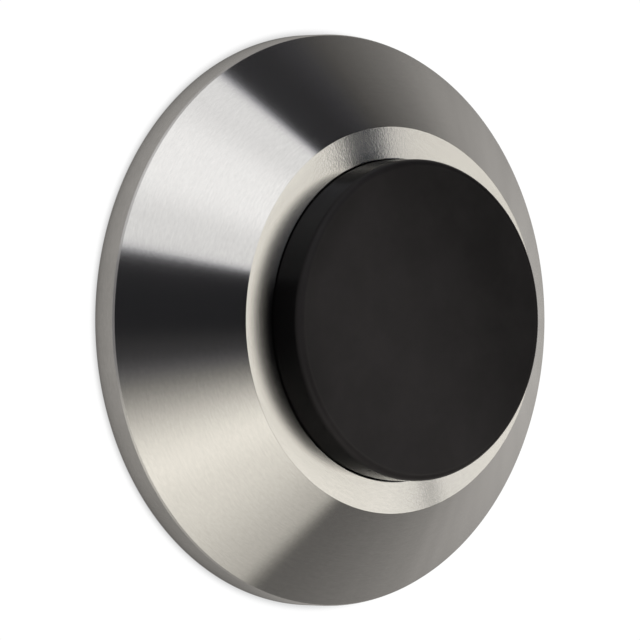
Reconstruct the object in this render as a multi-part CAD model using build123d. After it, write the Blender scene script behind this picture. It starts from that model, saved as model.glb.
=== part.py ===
from build123d import *
import os

# Wall door stop: a turned stainless rose with a rubber buffer snapped into its pocket,
# held to the wall by one countersunk screw under the buffer.
# Millimetres. The wall is the plane y = 0 and the front looks along -Y. All pieces share the Y axis.
# A height is measured out from the wall along -Y, so what lies in the wall has a negative height.

# Rose
outer_diameter = 60.0
rim_height = 3.1
rim_bevel_height = 0.27
rim_bevel_depth = 0.11
rose_height = 12.7  # at the pocket's mouth
land_width = 3.375
land_drop = 0.23  # how far the land falls from the mouth to its outer edge
pocket_depth = 6.2
seat_width = 8.0  # the ring that bears on the wall
relief_depth = 1.0

# Rubber buffer
buffer_diameter = 33.45
buffer_projection = 4.3  # how far the buffer stands out from the pocket's mouth
buffer_edge_radius = 0.8
buffer_clearance = 0.06  # from the buffer to the pocket, all round
foot_height = 0.9
foot_taper = 0.5
bead_projection = 0.6  # the snap bead's, with 45 degree flanks
recess_margin = 1.0  # from the countersink's rim to the wall of the recess over the screw head
recess_depth = 1.5

# Fixing screw
screw_length = 50.0
head_diameter = 9.6
head_edge = 0.3  # the short straight edge above the head's 90 degree cone
head_sink = 0.2  # how far the head lies below the pocket floor
seat_clearance = 0.05  # from the head's cone to the countersink, along the axis
neck_diameter = 3.6
thread_diameter = 5.0
thread_length = 40.0  # from the point
thread_run_in = 1.0
point_length = 6.0
hole_clearance = 0.25  # from the screw's thread to the hole in the rose
drive_depth = 2.2
drive_core_diameter = 3.3
drive_lobes = 6
drive_lobe_diameter = 0.9
drive_diameter = 4.4

outer_radius = outer_diameter / 2
buffer_radius = buffer_diameter / 2
head_radius = head_diameter / 2
neck_radius = neck_diameter / 2
thread_radius = thread_diameter / 2

pocket_radius = buffer_radius + buffer_clearance
land_radius = pocket_radius + land_width
floor_height = rose_height - pocket_depth
hole_radius = thread_radius + hole_clearance

# The head and its countersink are 90 degree cones, so radius and height change alike.
head_top = floor_height - head_sink
cone_top = head_top - head_edge
countersink_radius = head_radius + head_edge + head_sink + seat_clearance
countersink_foot = floor_height - (countersink_radius - hole_radius)

# In this plane an outline's first coordinate is a radius and its second a height.
section = Plane(origin=(0, 0, 0), x_dir=(1, 0, 0), z_dir=(0, 0, -1))


def turned(outline):
    """The solid of one full turn of a closed outline about the Y axis."""
    return revolve(section * make_face(outline), axis=Axis.Y)


def snap_ring(wall_radius, clearance):
    """The outline of the snap bead on this wall, upwards. Its groove has a clearance."""
    crest = floor_height + foot_height + bead_projection
    reach = bead_projection + clearance
    return [
        (wall_radius, crest - reach),
        (wall_radius + reach, crest),
        (wall_radius, crest + reach),
    ]


def make_rose():
    relief_radius = outer_radius - seat_width
    groove = snap_ring(pocket_radius, buffer_clearance)
    outline = Polyline(
        (hole_radius, relief_depth),
        (relief_radius, relief_depth),
        (relief_radius, 0),
        (outer_radius, 0),
        (outer_radius, rim_height - rim_bevel_height),
        (outer_radius - rim_bevel_depth, rim_height),
        (land_radius, rose_height - land_drop),
        (pocket_radius, rose_height),
        *reversed(groove),
        (pocket_radius, floor_height),
        (countersink_radius, floor_height),
        (hole_radius, countersink_foot),
        close=True,
    )
    return turned(outline)


def make_rubber_buffer():
    face_height = rose_height + buffer_projection
    recess_radius = countersink_radius + recess_margin
    bead = snap_ring(buffer_radius, clearance=0)
    edge = RadiusArc(
        (buffer_radius, face_height - buffer_edge_radius),
        (buffer_radius - buffer_edge_radius, face_height),
        -buffer_edge_radius,
    )
    rest = Polyline(
        edge @ 1,
        (0, face_height),
        (0, floor_height + recess_depth),
        (recess_radius, floor_height + recess_depth),
        (recess_radius, floor_height),
        (buffer_radius - foot_taper, floor_height),
        *bead,
        edge @ 0,
    )
    return turned(rest + edge)


def make_fixing_screw():
    tip = head_top - screw_length
    thread_start = tip + thread_length
    outline = Polyline(
        (0, head_top),
        (head_radius, head_top),
        (head_radius, cone_top),
        (neck_radius, cone_top - (head_radius - neck_radius)),
        (neck_radius, thread_start),
        (thread_radius, thread_start - thread_run_in),
        (thread_radius, tip + point_length),
        (0, tip),
        close=True,
    )
    lobe_radius = drive_lobe_diameter / 2
    lobe_places = PolarLocations(drive_diameter / 2 - lobe_radius, drive_lobes)
    drive = Circle(drive_core_diameter / 2) + lobe_places * Circle(lobe_radius)
    head_face = Plane(origin=(0, -head_top, 0), x_dir=(1, 0, 0), z_dir=(0, 1, 0))
    return turned(outline) - extrude(head_face * drive, drive_depth)


os.makedirs("parts", exist_ok=True)
export_step(make_rose(), "parts/rose.step")
export_step(make_rubber_buffer(), "parts/rubber_buffer.step")
export_step(make_fixing_screw(), "parts/fixing_screw.step")
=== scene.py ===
import math
from collections import namedtuple

import bpy
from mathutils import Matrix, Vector


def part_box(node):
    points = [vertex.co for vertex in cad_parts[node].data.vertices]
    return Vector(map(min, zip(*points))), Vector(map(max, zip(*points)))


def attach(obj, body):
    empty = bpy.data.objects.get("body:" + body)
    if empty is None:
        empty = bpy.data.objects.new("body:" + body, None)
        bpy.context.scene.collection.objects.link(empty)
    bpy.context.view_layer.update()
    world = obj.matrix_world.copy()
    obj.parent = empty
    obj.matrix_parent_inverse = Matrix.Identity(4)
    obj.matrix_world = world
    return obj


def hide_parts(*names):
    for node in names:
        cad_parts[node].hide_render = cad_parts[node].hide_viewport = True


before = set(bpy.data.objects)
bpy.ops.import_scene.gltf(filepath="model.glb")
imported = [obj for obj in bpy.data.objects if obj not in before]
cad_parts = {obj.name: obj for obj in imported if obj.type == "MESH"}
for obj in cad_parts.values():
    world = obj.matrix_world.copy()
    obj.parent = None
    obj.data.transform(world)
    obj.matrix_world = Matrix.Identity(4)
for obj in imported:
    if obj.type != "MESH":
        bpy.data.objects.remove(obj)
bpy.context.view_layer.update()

# Wall door stop: brushed stainless rose, black rubber buffer, zinc plated fixing screw.
# Metres, wall at y = 0, the front looks along -Y. A height is measured out from the wall along -Y.
# Named sizes are in millimetres, unless their heading says otherwise.
MM = 0.001


def node_radius(node):
    """A turned node's largest radius, to a micron."""
    _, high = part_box(node)
    return round(high.x / MM, 3)


def node_heights(node):
    """A node's lowest and highest height, to a micron."""
    low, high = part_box(node)
    return round(-high.y / MM, 3), round(-low.y / MM, 3)


# Fixing screw
HEAD_RADIUS = node_radius("fixing_screw")
SCREW_TIP, HEAD_TOP = node_heights("fixing_screw")
HEAD_EDGE = 0.3
HEAD_BREAK = 0.08
CONE_BREAK = 0.06
NECK_RADIUS = 1.8
NECK_RUN_OUT = 0.6
THREAD_START = SCREW_TIP + 40.0
THREAD_CORE = 1.62
THREAD_CREST = 2.5
THREAD_PITCH = 2.5
THREAD_ROOT_WIDTH = 0.42 * THREAD_PITCH
THREAD_CREST_WIDTH = 0.1 * THREAD_PITCH
THREAD_SINK = 0.1  # how far the thread's root lies inside the core
POINT_START = SCREW_TIP + 6.0
POINT_BLUNT_RADIUS = 0.25
POINT_BLUNT_LENGTH = 0.35
DRIVE_LOBES = 6
DRIVE_RADIUS = 1.9
DRIVE_WAVE = 0.3
DRIVE_DEPTH = 2.2
DRIVE_DRAFT = 0.06
DRIVE_MARGIN = 0.5
DRIVE_FLOOR_RADIUS = 0.9
DRIVE_WALL_FOOT = 0.4
DRIVE_FLOOR_DISH = 0.1

# Rubber buffer
BEAD_REACH = 0.6
BUFFER_RADIUS = node_radius("rubber_buffer") - BEAD_REACH
FLOOR_HEIGHT, BUFFER_FACE = node_heights("rubber_buffer")
BUFFER_EDGE = 0.8
FOOT_TAPER = 0.5
FOOT_HEIGHT = 0.9
FOOT_EDGE = 0.15
SNAP_HEIGHT = FLOOR_HEIGHT + FOOT_HEIGHT + BEAD_REACH
BEAD_ROOT = 0.1
BEAD_CREST = 0.25
RECESS_TOP = FLOOR_HEIGHT + 1.5
RECESS_MARGIN = 1.0
RECESS_FILLET = 0.3

# Rose
RIM_RADIUS = node_radius("rose")
_, MOUTH_HEIGHT = node_heights("rose")
RIM_FOOT_EDGE = 0.15
BEVEL_TOP = 3.1
BEVEL_HEIGHT = 0.27
BEVEL_DEPTH = 0.11
CRISP_EDGE = 0.05  # where the turned faces meet in view
BUFFER_CLEARANCE = 0.06
POCKET_RADIUS = BUFFER_RADIUS + BUFFER_CLEARANCE
LAND_RADIUS = POCKET_RADIUS + 3.375
LAND_DROP = 0.23
MOUTH_EDGE = 0.09
GROOVE_REACH = BEAD_REACH + BUFFER_CLEARANCE
GROOVE_ROOT = 0.12
BORED_EDGE = 0.08
TOOL_NOSE = 0.2  # the fillet that the tool leaves in an inner corner
HOLE_RADIUS = THREAD_CREST + 0.25
COUNTERSINK_RADIUS = HEAD_RADIUS + 0.55
RELIEF_RADIUS = RIM_RADIUS - 8.0
RELIEF_DEPTH = 1.0
RELIEF_EDGE = 0.1

# Meshes, with the seam's gap in metres
SEGMENTS = 288
SCREW_SEGMENTS = 144
THREAD_STEPS = 48
SEAM_GAP = 1e-7
SHARP_ANGLE = math.radians(28)
SHANK_MAP_SHARE = 0.5
THREAD_MAP_START = 0.55
THREAD_MAP_SHARE = 0.45

# Finishes. A pair of sizes is where a finish begins to change and where it has changed.
STEEL = (0.602, 0.593, 0.581)
BORED_STEEL = (0.562, 0.553, 0.541)
BRUSH_DEPTH = 0.004
RUBBER_BLACK = (0.0025, 0.0023, 0.0026, 1.0)
RUBBER_BLOOM = (0.0363, 0.0336, 0.0350, 1.0)
RUBBER_GRAIN_DEPTH = 0.01
BLOOM_HEIGHTS = (BUFFER_FACE - 1.0, BUFFER_FACE - 0.3)
# Painted shade on the rubber's face: towards the upper right, along its edge and at its top.
PAINTED_SHADE_UPPER_RIGHT = (-4.0, 12.0)
PAINTED_EDGE_SHADE_RADII = (13.0, 16.6)
PAINTED_EDGE_SHADE_LEVELS = (-13.0, -6.0)
PAINTED_TOP_SHADE_LEVELS = (3.0, 10.0)
ZINC_BLUE = (0.66, 0.68, 0.70, 1.0)
ZINC_STRAW = (0.74, 0.72, 0.66, 1.0)
ZINC_MARK_DEPTH = 0.01

# Camera: level with the axis, 40.9 degrees to the left of it. Its distances are in metres.
CAMERA_SIDE = math.radians(40.9)
CAMERA_DISTANCE = 0.9
CAMERA_RIGHT = 0.000534
CAMERA_UP = 0.000018
CAMERA_LENS = 480.9
CAMERA_SENSOR = 36.0
CAMERA_RANGE = (0.01, 20.0)

# Stage, in metres
WALL_HALF = 0.6
WALL_SHADE_REACH = 0.001
FLOOR_HALF = 3.0
FLOOR_DROP = 0.35
FLOOR_SHADE_REACH = 0.05
FLOOR_TONE = (0.93, 0.925, 0.915, 1.0)

# The wall's veil in reflections, a painted shade in millimetres out from the rim: where it begins to clear
# and has cleared
VEIL_TOUCHING = (0.0, 0.7)
VEIL_NEAR = (0.0, 2.5)
VEIL_FAR = (4.0, 14.0)


class Wire:
    """One socket of a node tree. Arithmetic on it adds Math nodes to the tree."""

    def __init__(self, tree, socket=None):
        self.tree = tree
        self.socket = socket

    def node(self, kind, settings=None, inputs=None, output=0):
        """Adds a node, sets its settings, then its sockets' values or links, and gives one output."""
        made = self.tree.nodes.new(kind)
        for name, value in (settings or {}).items():
            setattr(made, name, value)
        for name, value in (inputs or {}).items():
            if isinstance(value, Wire):
                self.tree.links.new(value.socket, made.inputs[name])
            else:
                made.inputs[name].default_value = value
        outputs = made.outputs
        return Wire(self.tree, outputs[output]) if len(outputs) else Wire(self.tree)

    def out(self, name):
        """Another output of the same node."""
        return Wire(self.tree, self.socket.node.outputs[name])

    def compute(self, operation, *values):
        """A Math node on these values."""
        return self.node("ShaderNodeMath", {"operation": operation}, dict(enumerate(values)))

    def math(self, operation, *others):
        """A Math node with this value first."""
        return self.compute(operation, self, *others)

    def __add__(self, other):
        return self.math("ADD", other)

    __radd__ = __add__

    def __sub__(self, other):
        return self.math("SUBTRACT", other)

    def __rsub__(self, other):
        return self.compute("SUBTRACT", other, self)

    def __mul__(self, other):
        return self.math("MULTIPLY", other)

    __rmul__ = __mul__

    def __truediv__(self, other):
        return self.math("DIVIDE", other)

    def __rtruediv__(self, other):
        return self.compute("DIVIDE", other, self)

    def __mod__(self, other):
        return self.math("FLOORED_MODULO", other)

    def __rmod__(self, other):
        return self.compute("FLOORED_MODULO", other, self)

    def __neg__(self):
        return self * -1.0

    def __abs__(self):
        return self.math("ABSOLUTE")

    def ramp(self, low, high):
        """Goes smoothly from 0 at low to 1 at high."""
        sockets = {"Value": self, "From Min": low, "From Max": high}
        return self.node("ShaderNodeMapRange", {"interpolation_type": "SMOOTHSTEP"}, sockets)

    def fade(self, low, high):
        """Goes smoothly from 1 at low to 0 at high."""
        return 1 - self.ramp(low, high)

    def band(self, rise, fall):
        """Comes up over the first range and goes out over the second."""
        return self.ramp(*rise) * self.fade(*fall)

    def swing(self, amount):
        """This noise as a swing about 0."""
        return (self - 0.5) * amount

    def blend(self, first, second):
        """The first colour where this is 0, the second where it is 1."""
        return self.node("ShaderNodeMix", {"data_type": "RGBA"}, {0: self, 6: first, 7: second}, 2)

    def vector(self, x, y, z):
        return self.node("ShaderNodeCombineXYZ", None, {0: x, 1: y, 2: z})

    def split(self):
        made = self.node("ShaderNodeSeparateXYZ", None, {0: self})
        return made, made.out("Y"), made.out("Z")

    def noise(self, place, scale, detail=2.0, roughness=0.5):
        sockets = {"Vector": place, "Scale": scale, "Detail": detail, "Roughness": roughness}
        return self.node("ShaderNodeTexNoise", None, sockets)


def grey(value):
    return (value, value, value, 1.0)


def metres(*sizes):
    return [size * MM for size in sizes]


def axis_radius(x, z):
    """The distance from the Y axis."""
    return (x * x + z * z).math("SQRT")


# Geometry

Point = namedtuple("Point", ("radius", "height", "zone", "wave"), defaults=(0, 0.0))


def rounded_section(corners, steps=5, guard=0.05):
    """Points of a section whose corners are (radius, height, edge radius, zone).

    A corner's zone is that of the run which follows it. A guard point on each side of a rounded edge
    keeps the shading of the flat runs flat.
    """
    points = []
    last = len(corners) - 1
    closed = corners[0][:2] == corners[last][:2]
    for number, (radius, height, edge, zone) in enumerate(corners):
        here = Vector((radius, height))
        if edge == 0 or (not closed and number in (0, last)):
            points.append((here, zone))
            continue
        before = (Vector(corners[number - 1][:2]) - here).normalized()
        after = (Vector(corners[number + 1][:2]) - here).normalized()
        half = before.angle(after) / 2
        reach = edge / math.tan(half)
        centre = here + (before + after).normalized() * edge / math.sin(half)
        previous = corners[number - 1][3]
        start = here + before * reach - centre
        end = here + after * reach - centre
        points.append((here + before * (reach + guard), previous))
        for step in range(steps + 1):
            spoke = start.slerp(end, step / steps).normalized() * edge
            points.append((centre + spoke, zone if step == steps else previous))
        points.append((here + after * (reach + guard), zone))
    return [Point(point.x, point.y, zone) for point, zone in points]


def section_object(name, points):
    """A mesh of loose points: x is a radius, y a height, z how far the drive's lobes swing the radius."""
    places = [metres(point.radius, point.height, point.wave) for point in points]
    mesh = bpy.data.meshes.new(name)
    mesh.from_pydata(places, [], [])
    run = 0.0
    runs = [0.0]
    for first, second in zip(places, places[1:]):
        run += (Vector(second) - Vector(first)).length
        runs.append(run)
    along = mesh.attributes.new("along", "FLOAT", "POINT")
    along.data.foreach_set("value", [value / run for value in runs])
    zone = mesh.attributes.new("zone", "INT", "POINT")
    zone.data.foreach_set("value", [point.zone for point in points])
    made = bpy.data.objects.new(name, mesh)
    bpy.context.scene.collection.objects.link(made)
    return made


def new_tree(name, inputs):
    """A geometry tree with a geometry in and out and the named inputs, and the wire of its group input."""
    tree = bpy.data.node_groups.new(name, "GeometryNodeTree")
    tree.interface.new_socket("Geometry", in_out="INPUT", socket_type="NodeSocketGeometry")
    for title, kind in inputs.items():
        tree.interface.new_socket(title, in_out="INPUT", socket_type=kind)
    tree.interface.new_socket("Geometry", in_out="OUTPUT", socket_type="NodeSocketGeometry")
    return tree, Wire(tree).node("NodeGroupInput")


def named(wire, name, kind):
    """A named attribute of whatever mesh reads it."""
    return wire.node("GeometryNodeInputNamedAttribute", {"data_type": kind}, {"Name": name})


def store(mesh, name, kind, domain, value):
    settings = {"data_type": kind, "domain": domain}
    sockets = {"Geometry": mesh, "Name": name, "Value": value}
    return mesh.node("GeometryNodeStoreNamedAttribute", settings, sockets)


def sample(source, kind, value, index):
    """The value that one point of another geometry has."""
    settings = {"data_type": kind, "domain": "POINT", "clamp": True}
    sockets = {"Geometry": source, "Value": value, "Index": index}
    return source.node("GeometryNodeSampleIndex", settings, sockets)


def close_and_shade(mesh):
    """Merges the seam and the poles, and shades smooth between the sharp edges."""
    mesh = mesh.node("GeometryNodeMergeByDistance", None, {"Geometry": mesh, "Distance": SEAM_GAP})
    mesh = mesh.node("GeometryNodeSetShadeSmooth", {"domain": "FACE"}, {"Geometry": mesh})
    sharp = mesh.node("GeometryNodeInputMeshEdgeAngle").math("GREATER_THAN", SHARP_ANGLE)
    sockets = {"Geometry": mesh, "Selection": sharp, "Shade Smooth": False}
    return mesh.node("GeometryNodeSetShadeSmooth", {"domain": "EDGE"}, sockets)


def turning_tree(zones):
    """Turns the section's points about the Y axis, with a UV map along the section and round the turn."""
    inputs = {"Segments": "NodeSocketInt", "Lobes": "NodeSocketInt", "Map Share": "NodeSocketFloat"}
    inputs.update({f"Zone {zone}": "NodeSocketMaterial" for zone in range(zones)})
    tree, start = new_tree("turning", inputs)
    section = start.out("Geometry")
    segments = start.out("Segments")
    count = start.node(
        "GeometryNodeAttributeDomainSize", {"component": "MESH"}, {"Geometry": section}, "Point Count"
    )
    sockets = {"Vertices X": segments + 1, "Vertices Y": count}
    grid = start.node("GeometryNodeMeshGrid", None, sockets, "Mesh")

    # Each column of the grid is the section at one angle.
    index = start.node("GeometryNodeInputIndex")
    row = index % count
    turn = ((index - row) / count).math("ROUND") / segments
    mesh = store(grid, "row", "FLOAT", "POINT", row)

    map_x, map_y, _ = grid.out("UV Map").split()
    corner_row = (map_y * (count - 1)).math("ROUND")
    along = sample(section, "FLOAT", named(start, "along", "FLOAT"), corner_row)
    spot = start.vector(along * start.out("Map Share"), map_x, 0.0)
    mesh = store(mesh, "OFBake", "FLOAT2", "CORNER", spot)

    place = start.node("GeometryNodeInputPosition")
    radius, height, wave = sample(section, "FLOAT_VECTOR", place, row).split()
    angle = turn * math.tau
    lobed = radius + wave * (angle * start.out("Lobes")).math("COSINE")
    position = start.vector(lobed * angle.math("COSINE"), -height, lobed * angle.math("SINE"))
    mesh = start.node("GeometryNodeSetPosition", None, {"Geometry": mesh, "Position": position})
    mesh = close_and_shade(mesh)

    # A face lies between two rows and takes the zone of the first.
    face_row = named(start, "row", "FLOAT").math("FLOOR")
    zone = sample(section, "INT", named(start, "zone", "INT"), face_row)
    tolerance = 0.1
    mesh = start.node("GeometryNodeRealizeInstances", None, {"Geometry": mesh})
    for number in range(zones):
        chosen = zone.math("COMPARE", float(number), tolerance)
        sockets = {"Geometry": mesh, "Selection": chosen, "Material": start.out(f"Zone {number}")}
        mesh = start.node("GeometryNodeSetMaterial", None, sockets)
    start.node("NodeGroupOutput", None, {"Geometry": mesh})
    return tree


def wind_thread(start):
    """A wood screw's thread, right-handed, which grows in at its start and runs out to the tip."""
    run_in = 1.6  # the thread reaches its full height in one turn divided by this
    run_out = 0.6  # the power of its fall along the point
    point_share = 0.15  # the core's share of its radius at the tip
    rows = 5  # one root, the crest's two edges, the other root, and the first root again
    core = start.out("Core Radius")
    sink = start.out("Root Sink")
    first = start.out("Thread Start")
    tip = start.out("Tip")
    length = tip - first
    turns = length / start.out("Pitch")
    steps = (turns * start.out("Steps Per Turn")).math("ROUND")
    sockets = {"Vertices X": steps, "Vertices Y": rows}
    grid = start.node("GeometryNodeMeshGrid", None, sockets, "Mesh")
    along, across, _ = grid.out("UV Map").split()
    spot = start.vector(across * THREAD_MAP_SHARE + THREAD_MAP_START, along, 0.0)
    mesh = store(grid, "OFBake", "FLOAT2", "CORNER", spot)

    index = start.node("GeometryNodeInputIndex")
    row = index % rows
    share = (index - row) / rows / (steps - 1)
    # Rows 1 and 2 are the crest, and rows 2 and 3 are the side towards the tip.
    crest = abs(row - 1.5).math("LESS_THAN", 1.0)
    side = 2 * abs(row - 2.5).math("LESS_THAN", 1.0) - 1
    depth = first + share * length
    point_start = start.out("Point Start")
    point = (1 - (depth - point_start) / (tip - point_start)).math("MINIMUM", 1.0)
    grow = (share * turns * run_in).math("MINIMUM", 1.0) * point.math("POWER", run_out)
    flank = start.out("Root Width") * 0.5
    flat = start.out("Crest Width") * 0.5
    offset = side * (flank - (flank - flat) * crest) * grow
    root = core * (point * (1 - point_share) + point_share) - sink
    radius = root + crest * (start.out("Crest Radius") - core + sink) * grow
    angle = share * turns * math.tau
    position = start.vector(radius * angle.math("COSINE"), depth + offset, -radius * angle.math("SINE"))
    mesh = start.node("GeometryNodeSetPosition", None, {"Geometry": mesh, "Position": position})
    return close_and_shade(mesh)


def screw_tree():
    """The turned shank with a wood screw's thread wound round it."""
    lengths = (
        "Pitch", "Core Radius", "Crest Radius", "Root Width", "Crest Width", "Root Sink",
        "Thread Start", "Point Start", "Tip",
    )
    inputs = {title: "NodeSocketInt" for title in ("Segments", "Lobes", "Steps Per Turn")}
    inputs.update({title: "NodeSocketFloat" for title in lengths})
    inputs["Plating"] = "NodeSocketMaterial"
    tree, start = new_tree("wood screw", inputs)
    plating = start.out("Plating")
    sockets = {
        "Geometry": start.out("Geometry"),
        "Segments": start.out("Segments"),
        "Lobes": start.out("Lobes"),
        "Map Share": SHANK_MAP_SHARE,
        "Zone 0": plating,
    }
    shank = start.node("GeometryNodeGroup", {"node_tree": turning_tree(1)}, sockets)
    thread = wind_thread(start)
    both = start.node("GeometryNodeJoinGeometry")
    for part in (shank, thread):
        tree.links.new(part.socket, both.socket.node.inputs[0])
    solid = start.node("GeometryNodeRealizeInstances", None, {"Geometry": both})
    solid = start.node("GeometryNodeSetMaterial", None, {"Geometry": solid, "Material": plating})
    start.node("NodeGroupOutput", None, {"Geometry": solid})
    return tree


def make_piece(name, points, tree, values):
    """Runs a tree on a section and keeps the result as a plain mesh."""
    section = section_object(name + " section", points)
    modifier = section.modifiers.new(name, "NODES")
    modifier.node_group = tree
    for socket in tree.interface.items_tree:
        if socket.in_out == "INPUT" and socket.name in values:
            modifier[socket.identifier] = values[socket.name]
    graph = bpy.context.evaluated_depsgraph_get()
    mesh = bpy.data.meshes.new_from_object(section.evaluated_get(graph))
    mesh.name = name
    mesh.materials.pop(index=0)  # the grid's own empty slot
    for spare in ("row", "along", "zone"):
        if spare in mesh.attributes:
            mesh.attributes.remove(mesh.attributes[spare])
    section.modifiers.remove(modifier)
    bpy.data.objects.remove(section)
    piece = bpy.data.objects.new(name, mesh)
    bpy.context.scene.collection.objects.link(piece)
    return piece


# Materials


def new_material(name):
    material = bpy.data.materials.new(name)
    material.use_nodes = True
    material.node_tree.nodes.clear()
    return material, Wire(material.node_tree)


def surface(wire, sockets):
    shader = wire.node("ShaderNodeBsdfPrincipled", None, sockets)
    wire.node("ShaderNodeOutputMaterial", None, {"Surface": shader})


def bump(wire, height, depth, strength):
    """The normal of a relief whose depth is in millimetres."""
    sockets = {"Height": height, "Distance": depth * MM, "Strength": strength}
    return wire.node("ShaderNodeBump", None, sockets)


def turned_steel(name, colour, roughness, anisotropy, streak, grain):
    """Stainless steel with fine concentric tool and brush lines round the Y axis."""
    material, wire = new_material(name)
    place = wire.node("ShaderNodeTexCoord", output="Object")
    x, y, z = place.split()
    across = -y - axis_radius(x, z)

    def brush_lines(per_metre_round, per_metre_across, noise_roughness):
        """Noise that is long round the axis and tight across the brush lines."""
        spot = wire.vector(x * per_metre_round, across * per_metre_across, z * per_metre_round)
        return wire.noise(spot, scale=1.0, detail=3.0, roughness=noise_roughness)

    fine = brush_lines(per_metre_round=1700, per_metre_across=3600, noise_roughness=0.6)
    broad = brush_lines(per_metre_round=420, per_metre_across=4600, noise_roughness=0.55)
    lines = fine * 0.65 + broad * 0.35
    cloud = wire.noise(place, scale=70.0, detail=3.0)
    speck = wire.noise(place, scale=4600.0, detail=0.0)
    darker = tuple(part * (1 - streak) for part in colour)
    lighter = tuple(part * (1 + streak) for part in colour)
    tangent = wire.node("ShaderNodeTangent", {"direction_type": "UV_MAP", "uv_map": "OFBake"})
    surface(wire, {
        "Base Color": lines.blend((*darker, 1.0), (*lighter, 1.0)),
        "Metallic": 1.0,
        "Roughness": roughness + lines.swing(0.03) + cloud.swing(0.02),
        "Anisotropic": anisotropy,
        "Tangent": tangent,
        "Normal": bump(wire, fine * 0.7 + speck * grain, BRUSH_DEPTH, strength=0.5),
    })
    return material


def moulded_rubber(name):
    """Matt black rubber with a faintly cloudy bloom on its face, painted shade across that face, and a
    fine moulded grain.
    """
    material, wire = new_material(name)
    place = wire.node("ShaderNodeTexCoord", output="Object")
    x, y, z = place.split()
    cloud = wire.noise(place, scale=160.0, detail=4.0, roughness=0.6)
    grain = wire.noise(place, scale=3800.0, detail=3.0, roughness=0.6)
    face = (-y).ramp(*metres(*BLOOM_HEIGHTS))
    # Painted shade: the bloom is darkened towards the upper right, a little along the edge and at the top,
    # where the face is in less light; the upper right also loses some coat.
    painted_shade_upper_right = (x * 0.8 + z * 0.5).ramp(*metres(*PAINTED_SHADE_UPPER_RIGHT))
    edge = axis_radius(x, z).ramp(*metres(*PAINTED_EDGE_SHADE_RADII)) * z.ramp(*metres(*PAINTED_EDGE_SHADE_LEVELS))
    top = z.ramp(*metres(*PAINTED_TOP_SHADE_LEVELS))
    painted_edge_and_top_shade = (0.26 * edge + 0.1 * top) * (1 - painted_shade_upper_right)
    bloom_and_painted_shade = (0.8 + 0.2 * cloud.ramp(0.3, 0.75) - 0.51 * painted_shade_upper_right) * (1 - painted_edge_and_top_shade) * face
    relief = (grain * 0.8 + cloud * 0.2) * (0.35 + 0.65 * face)
    surface(wire, {
        "Base Color": bloom_and_painted_shade.blend(RUBBER_BLACK, RUBBER_BLOOM),
        "Roughness": 0.5 + grain.swing(0.1) + cloud.swing(0.1),
        "Specular IOR Level": 0.03,
        "Coat Weight": 1 - 0.3 * painted_shade_upper_right * face,
        "Coat Roughness": 0.18,
        "Coat IOR": 1.12,
        "Normal": bump(wire, relief, RUBBER_GRAIN_DEPTH, strength=0.3),
    })
    return material


def zinc_plate(name):
    """Bright zinc plating with a faint passivated tint and drawn marks along the shank."""
    material, wire = new_material(name)
    place = wire.node("ShaderNodeTexCoord", output="Object")
    x, y, z = place.split()
    cloud = wire.noise(place, scale=420.0, detail=3.0, roughness=0.55)
    drawn = wire.noise(wire.vector(x * 2600, y * 160, z * 2600), scale=1.0, detail=2.0)
    surface(wire, {
        "Base Color": cloud.ramp(0.35, 0.7).blend(ZINC_BLUE, ZINC_STRAW),
        "Metallic": 1.0,
        "Roughness": 0.26 + drawn.swing(0.16) + cloud.swing(0.1),
        "Normal": bump(wire, drawn * 0.6 + cloud * 0.4, ZINC_MARK_DEPTH, strength=0.3),
    })
    return material


# Pieces


def make_rose():
    """The turned body: rim, cone, land, pocket with its snap groove, countersunk hole and relief."""
    steels = (
        turned_steel("brushed cone", STEEL, roughness=0.19, anisotropy=0.9, streak=0.145, grain=0.05),
        turned_steel("faced land", STEEL, roughness=0.158, anisotropy=1.0, streak=0.12, grain=0.8),
        turned_steel("turned rim", STEEL, roughness=0.26, anisotropy=0.8, streak=0.16, grain=0.3),
        turned_steel("bored steel", BORED_STEEL, roughness=0.32, anisotropy=0.7, streak=0.2, grain=0.3),
    )
    cone, land, rim, bored = range(len(steels))
    countersink_foot = FLOOR_HEIGHT - (COUNTERSINK_RADIUS - HOLE_RADIUS)
    points = rounded_section([
        (HOLE_RADIUS, RELIEF_DEPTH, 0, bored),
        (RELIEF_RADIUS, RELIEF_DEPTH, TOOL_NOSE, bored),
        (RELIEF_RADIUS, 0, RELIEF_EDGE, bored),
        (RIM_RADIUS, 0, RIM_FOOT_EDGE, rim),
        (RIM_RADIUS, BEVEL_TOP - BEVEL_HEIGHT, CRISP_EDGE, rim),
        (RIM_RADIUS - BEVEL_DEPTH, BEVEL_TOP, CRISP_EDGE, cone),
        (LAND_RADIUS, MOUTH_HEIGHT - LAND_DROP, CRISP_EDGE, land),
        (POCKET_RADIUS, MOUTH_HEIGHT, MOUTH_EDGE, bored),
        (POCKET_RADIUS, SNAP_HEIGHT + GROOVE_REACH, BORED_EDGE, bored),
        (POCKET_RADIUS + GROOVE_REACH, SNAP_HEIGHT, GROOVE_ROOT, bored),
        (POCKET_RADIUS, SNAP_HEIGHT - GROOVE_REACH, BORED_EDGE, bored),
        (POCKET_RADIUS, FLOOR_HEIGHT, TOOL_NOSE, bored),
        (COUNTERSINK_RADIUS, FLOOR_HEIGHT, BORED_EDGE, bored),
        (HOLE_RADIUS, countersink_foot, BORED_EDGE, bored),
        (HOLE_RADIUS, RELIEF_DEPTH, 0, bored),
    ])
    values = {"Segments": SEGMENTS, "Lobes": 0, "Map Share": 1.0}
    values.update({f"Zone {number}": steel for number, steel in enumerate(steels)})
    return make_piece("brushed_rose", points, turning_tree(len(steels)), values)


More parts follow.
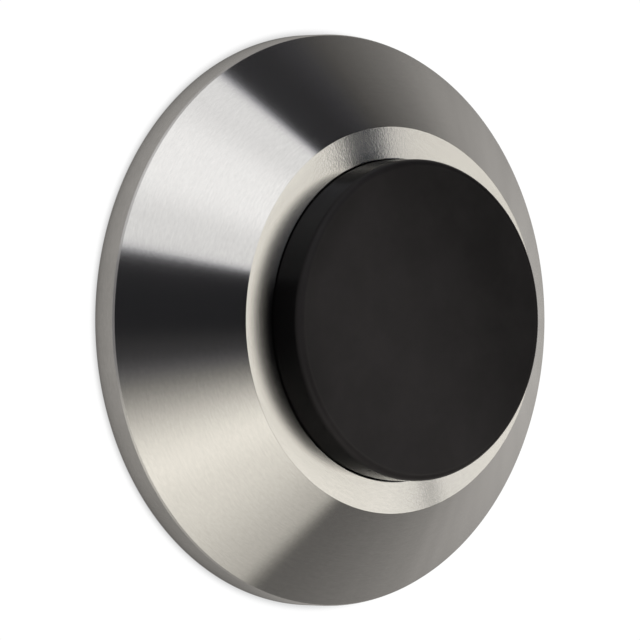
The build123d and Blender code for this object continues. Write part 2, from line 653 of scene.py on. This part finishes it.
def make_buffer():
    """The moulded disc with its rounded front edge, snap bead, tapered foot and recess."""
    rubber = moulded_rubber("moulded rubber")
    recess_radius = COUNTERSINK_RADIUS + RECESS_MARGIN
    points = rounded_section([
        (0, RECESS_TOP, 0, 0),
        (recess_radius, RECESS_TOP, RECESS_FILLET, 0),
        (recess_radius, FLOOR_HEIGHT, FOOT_EDGE, 0),
        (BUFFER_RADIUS - FOOT_TAPER, FLOOR_HEIGHT, FOOT_EDGE, 0),
        (BUFFER_RADIUS, SNAP_HEIGHT - BEAD_REACH, BEAD_ROOT, 0),
        (BUFFER_RADIUS + BEAD_REACH, SNAP_HEIGHT, BEAD_CREST, 0),
        (BUFFER_RADIUS, SNAP_HEIGHT + BEAD_REACH, BEAD_ROOT, 0),
        (BUFFER_RADIUS, BUFFER_FACE, BUFFER_EDGE, 0),
        (0, BUFFER_FACE, 0, 0),
    ], steps=8)
    values = {"Segments": SEGMENTS, "Lobes": 0, "Map Share": 1.0, "Zone 0": rubber}
    return make_piece("moulded_buffer", points, turning_tree(1), values)


def make_screw():
    """The countersunk wood screw with its six-lobed drive and its thread."""
    cone_top = HEAD_TOP - HEAD_EDGE
    drive_floor = HEAD_TOP - DRIVE_DEPTH
    points = [
        Point(0, SCREW_TIP),
        Point(POINT_BLUNT_RADIUS, SCREW_TIP + POINT_BLUNT_LENGTH),
        Point(THREAD_CORE, POINT_START),
        Point(THREAD_CORE, THREAD_START - NECK_RUN_OUT),
        Point(NECK_RADIUS, THREAD_START),
        Point(NECK_RADIUS, cone_top - (HEAD_RADIUS - NECK_RADIUS)),
        Point(HEAD_RADIUS - CONE_BREAK, cone_top - CONE_BREAK),
        Point(HEAD_RADIUS, cone_top),
        Point(HEAD_RADIUS, HEAD_TOP - HEAD_BREAK),
        Point(HEAD_RADIUS - HEAD_BREAK, HEAD_TOP),
        Point(DRIVE_RADIUS + DRIVE_WAVE + DRIVE_MARGIN, HEAD_TOP),
        Point(DRIVE_RADIUS + HEAD_BREAK, HEAD_TOP, wave=DRIVE_WAVE),
        Point(DRIVE_RADIUS, HEAD_TOP - HEAD_BREAK, wave=DRIVE_WAVE),
        Point(DRIVE_RADIUS - DRIVE_DRAFT, drive_floor + DRIVE_WALL_FOOT, wave=DRIVE_WAVE),
        Point(DRIVE_FLOOR_RADIUS, drive_floor + DRIVE_FLOOR_DISH),
        Point(0, drive_floor),
    ]
    return make_piece("threaded_screw", points, screw_tree(), {
        "Segments": SCREW_SEGMENTS,
        "Lobes": DRIVE_LOBES,
        "Steps Per Turn": THREAD_STEPS,
        "Pitch": THREAD_PITCH * MM,
        "Core Radius": THREAD_CORE * MM,
        "Crest Radius": THREAD_CREST * MM,
        "Root Width": THREAD_ROOT_WIDTH * MM,
        "Crest Width": THREAD_CREST_WIDTH * MM,
        "Root Sink": THREAD_SINK * MM,
        "Thread Start": -THREAD_START * MM,
        "Point Start": -POINT_START * MM,
        "Tip": -SCREW_TIP * MM,
        "Plating": zinc_plate("zinc plate"),
    })


for piece, node, slot in (
    (make_rose(), "rose", "brushed_stainless"),
    (make_buffer(), "rubber_buffer", "black_rubber"),
    (make_screw(), "fixing_screw", "zinc_plated_steel"),
):
    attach(piece, "root")
    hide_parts(node)


# Camera and stage


def place_camera():
    """The photograph's view, and colours as they are."""
    forward = Vector((math.sin(CAMERA_SIDE), math.cos(CAMERA_SIDE), 0))
    right = Vector((math.cos(CAMERA_SIDE), -math.sin(CAMERA_SIDE), 0))
    data = bpy.data.cameras.new("camera")
    data.lens = CAMERA_LENS
    data.sensor_width = CAMERA_SENSOR
    data.clip_start, data.clip_end = CAMERA_RANGE
    camera = bpy.data.objects.new("camera", data)
    camera.location = -CAMERA_DISTANCE * forward + CAMERA_RIGHT * right + Vector((0, 0, CAMERA_UP))
    camera.rotation_euler = forward.to_track_quat("-Z", "Y").to_euler()
    bpy.context.scene.collection.objects.link(camera)
    bpy.context.scene.camera = camera
    bpy.context.scene.view_settings.view_transform = "Standard"


def stage_sheet(name, corners, material):
    """A flat sheet that casts neither light nor shadow on the object."""
    mesh = bpy.data.meshes.new(name)
    mesh.from_pydata(corners, [], [tuple(range(len(corners)))])
    mesh.materials.append(material)
    sheet = bpy.data.objects.new(name, mesh)
    bpy.context.scene.collection.objects.link(sheet)
    sheet.visible_diffuse = False
    sheet.visible_shadow = False
    sheet.visible_transmission = False


def stage_white(name, tone, shaded, reach):
    """Even white with a painted contact shadow where the object meets it, and isn't there from behind."""
    material, wire = new_material(name)
    # Painted contact shadow: the white dims where the object closes off the open sky.
    open_sky = wire.node("ShaderNodeAmbientOcclusion", {"samples": 8}, {"Distance": reach}, "AO")
    glow = wire.node("ShaderNodeEmission", None, {"Color": open_sky.ramp(0.3, 1.0).blend(shaded, tone)})
    # In the steel the wall is a veil before the room's light, with painted shade next to the object.
    x, _, z = wire.node("ShaderNodeTexCoord", output="Object").split()
    gap = axis_radius(x, z) - RIM_RADIUS * MM
    near = 0.2 * gap.ramp(*metres(*VEIL_TOUCHING)) + 0.2 * gap.ramp(*metres(*VEIL_NEAR))
    clear = 0.46 + near + 0.16 * gap.ramp(*metres(*VEIL_FAR))
    veil = wire.node("ShaderNodeBsdfTransparent", None, {"Color": clear.blend(grey(0.0), grey(1.0))})
    direct = wire.node("ShaderNodeLightPath", output="Is Camera Ray")
    front = wire.node("ShaderNodeMixShader", None, {0: direct, 1: veil, 2: glow})
    behind = wire.node("ShaderNodeNewGeometry", output="Backfacing")
    gone = wire.node("ShaderNodeBsdfTransparent")
    seen = wire.node("ShaderNodeMixShader", None, {0: behind, 1: front, 2: gone})
    wire.node("ShaderNodeOutputMaterial", None, {"Surface": seen})
    return material


def set_stage():
    """The white wall that the rose is fixed to, and the pale floor below."""
    wall = [
        (-WALL_HALF, 0, -FLOOR_DROP),
        (WALL_HALF, 0, -FLOOR_DROP),
        (WALL_HALF, 0, WALL_HALF),
        (-WALL_HALF, 0, WALL_HALF),
    ]
    floor = [
        (-FLOOR_HALF, -FLOOR_HALF, -FLOOR_DROP),
        (FLOOR_HALF, -FLOOR_HALF, -FLOOR_DROP),
        (FLOOR_HALF, FLOOR_HALF, -FLOOR_DROP),
        (-FLOOR_HALF, FLOOR_HALF, -FLOOR_DROP),
    ]
    stage_sheet("wall", wall, stage_white("wall white", grey(1.02), grey(0.6), WALL_SHADE_REACH))
    stage_sheet("floor", floor, stage_white("pale floor", FLOOR_TONE, grey(0.7), FLOOR_SHADE_REACH))


place_camera()
set_stage()


# Light: soft boxes round a dim room, as seen in the steel. Angles are in degrees.
# A pair is the range over which an edge comes up or goes out.
WHITE = (1.0, 1.0, 1.0, 1.0)
COOL_DIM = (0.945, 0.96, 1.14, 1.0)
WARM_DIM = (1.0, 0.965, 0.92, 1.0)
WARM_GLOW = (1.0, 0.965, 0.88, 1.0)
COLD_EDGE = (0.8, 0.92, 1.2, 1.0)
NEAR_MIRROR = (0.38, 0.54)
UPPER_BOX = (13.8, 15.6), (57.8, 60.2)
LOWER_BOX_TOP = (-35.2, -6.2)
LOWER_BOX_FOOT = (-70.5, -63.5)
LOWER_BOX_FRONT = (-0.70, -0.62)
KEY_SIDE = 34.5
KEY_HALF_WIDTH = 26.5
KEY_HALF_HEIGHT = 29
KEY_RIM = (0.75, 1.2)
WEDGE = (71.8, 74), (85, 90)
FOOT_SHADE = (-111, -109), (-105, -103)
UPRIGHT_LEAN = math.radians(76)
UPRIGHT_LEFT = (-0.0208, -0.0168)
UPRIGHT_RIGHT = (0.024, 0.040)
UPRIGHT_FOOT = (-0.105, -0.07)
BEHIND_WALL = (-0.185, 0.36)


class Sky:
    """Where a direction into the room lies, as wires."""

    def __init__(self, wire):
        degrees = 180 / math.pi
        x, self.y, self.z = wire.node("ShaderNodeTexCoord", output="Generated").split()
        # Round the sight line's mirror in the land: 0 is to the left, 90 above.
        self.left = math.sin(CAMERA_SIDE) - x
        self.turn = self.z.math("ARCTAN2", self.left) * degrees
        # Compass and height: 0 is straight out from the wall, 90 to the right.
        self.side = x.math("ARCTAN2", -self.y) * degrees
        self.rise = self.z.math("ARCSINE") * degrees
        # The cosine of the angle to that mirror, and what lies in front of the wall.
        self.nearness = x * math.sin(CAMERA_SIDE) - self.y * math.cos(CAMERA_SIDE)
        self.open_room = self.y.fade(-0.05, 0.25)


def upper_box(sky):
    """The box above on the left: where it shows, and its tone."""
    shown = sky.turn.band(*UPPER_BOX) * sky.open_room * (1 - 0.55 * sky.nearness.ramp(*NEAR_MIRROR))
    middle = sky.turn.band((22, 32), (40, 54))
    top = sky.turn.ramp(49, 54)
    tone = 1.13 + 0.28 * middle + 0.1 * top
    return shown, tone


def lower_box(sky):
    """The box below on the left, soft at its top: where it shows, and its tone."""
    shown = sky.turn.fade(*LOWER_BOX_TOP) * sky.turn.ramp(*LOWER_BOX_FOOT) * sky.open_room
    shown = shown * (1 - 0.8 * sky.nearness.ramp(*NEAR_MIRROR)) * sky.y.ramp(*LOWER_BOX_FRONT)
    foot = sky.turn.fade(-68, -30)
    top = sky.turn.ramp(-42, -14)
    tone = 1.40 - 0.64 * foot + top
    return shown, tone


def unlit_room(wire, sky, behind):
    """The dim room, and behind the wall's plane a paler one with faint rays."""
    turn = sky.turn
    top = turn.ramp(66, 72)
    below = turn.fade(-7, -1)
    foot = turn.fade(-72, -63)
    dim = 0.0155 - 0.005 * top + 0.03 * below + 0.102 * foot
    # The paler part: by its distance from the left, then its low side and the shade at the lower left.
    spread = abs(turn)
    pale = 0.525 - 0.1 * spread.ramp(75, 100) + 0.185 * spread.ramp(100, 170)
    pale = pale + 0.03 * sky.z.fade(-0.3, 0.1) - 0.16 * turn.band((-82, -64), (-50, 2))
    angle = turn * (math.pi / 180)
    rays = wire.noise(wire.vector(angle.math("COSINE"), angle.math("SINE"), 0), scale=16.0, detail=2.0)
    return dim * (1 - behind) + pale * behind * (0.85 + 0.3 * rays)


def key_box(sky):
    """The large oval box that the land mirrors: where it shows, its tone, and the cold bar across it."""
    wide = (sky.side - KEY_SIDE) / KEY_HALF_WIDTH
    tall = sky.rise / KEY_HALF_HEIGHT
    oval = (wide * wide + tall * tall).fade(*KEY_RIM)
    # A dark upright stands before it, leaning a little to the left, with a bright edge on that side.
    over = sky.z * math.sin(UPRIGHT_LEAN) + sky.left * math.cos(UPRIGHT_LEAN)
    beside = sky.z * math.cos(UPRIGHT_LEAN) - sky.left * math.sin(UPRIGHT_LEAN)
    upright = beside.band(UPRIGHT_LEFT, UPRIGHT_RIGHT) * over.ramp(*UPRIGHT_FOOT)
    bright_edge = beside.band((-0.042, -0.026), UPRIGHT_LEFT) * over.ramp(0.02, 0.06)
    dark = sky.turn.band(*WEDGE).math("MAXIMUM", upright)
    shown = oval * (1 - dark) * (1 - 0.6 * sky.turn.band(*FOOT_SHADE))
    low = (0.15 + 0.36 * sky.side.ramp(38, 42)) * sky.rise.fade(-12, 0)
    tone = 1.42 + 0.75 * bright_edge - 0.12 * sky.side.ramp(30, 42) + low
    return shown, tone, oval * upright


def studio():
    """Lights the steel by direction. The camera itself sees plain white."""
    world = bpy.data.worlds.new("soft studio")
    world.use_nodes = True
    world.node_tree.nodes.clear()
    bpy.context.scene.world = world
    wire = Wire(world.node_tree)
    sky = Sky(wire)
    turn = sky.turn
    upper, upper_tone = upper_box(sky)
    lower, lower_tone = lower_box(sky)
    key, key_tone, cold = key_box(sky)
    behind = sky.y.ramp(*BEHIND_WALL)

    unlit = 1 - (upper + lower).math("MINIMUM", 1.0)
    room = unlit_room(wire, sky, behind) * unlit + upper * upper_tone + lower * lower_tone
    total = room * (1 - key) + key_tone * key + 0.012 * cold

    warm = turn.ramp(74, 86) + 0.55 * turn.fade(-5, 0) + 0.45 * turn.fade(-68, -58)
    tint = behind.math("MAXIMUM", warm).blend(COOL_DIM, WARM_DIM)
    tint = upper.blend(tint, WHITE)
    tint = lower.math("MAXIMUM", key).ramp(0.0, 0.2).blend(tint, WARM_GLOW)
    tint = cold.blend(tint, COLD_EDGE)
    glow = wire.node("ShaderNodeBackground", None, {"Color": tint, "Strength": total})
    plain = wire.node("ShaderNodeBackground", None, {"Color": grey(1.0), "Strength": 1.0})
    seen = wire.node("ShaderNodeLightPath", output="Is Camera Ray")
    both = wire.node("ShaderNodeMixShader", None, {0: seen, 1: glow, 2: plain})
    wire.node("ShaderNodeOutputWorld", None, {"Surface": both})


studio()
